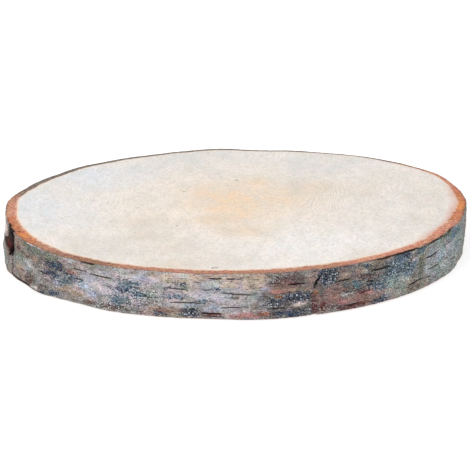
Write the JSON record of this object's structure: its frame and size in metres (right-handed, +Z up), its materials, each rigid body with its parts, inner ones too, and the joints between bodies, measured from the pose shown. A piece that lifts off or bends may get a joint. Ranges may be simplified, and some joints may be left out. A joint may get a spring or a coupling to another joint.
{
  "type": "birch wood slice",
  "caption": "Round cross-cut slice of a birch trunk with flat sawn faces and a rim of rough grey bark, for use as a stand, board, trivet or decoration.",
  "frame": {"origin": "middle of the underside's sawn face, which is the plane the slice rests on", "axes": "+Z up through the slice along the trunk's grain, from the underside to the upper sawn face; the -Y side carries the thickest bark and the upright crease, the -X side the branch scar"},
  "size_m": [0.3016, 0.2988, 0.0295],
  "materials": {
    "birch_slice": "dry sawn birch, matt, with rough grey bark round the edge"
  },
  "bodies": {
    "root": {"birch_slice": "birch_slice"}
  },
  "joints": []
}
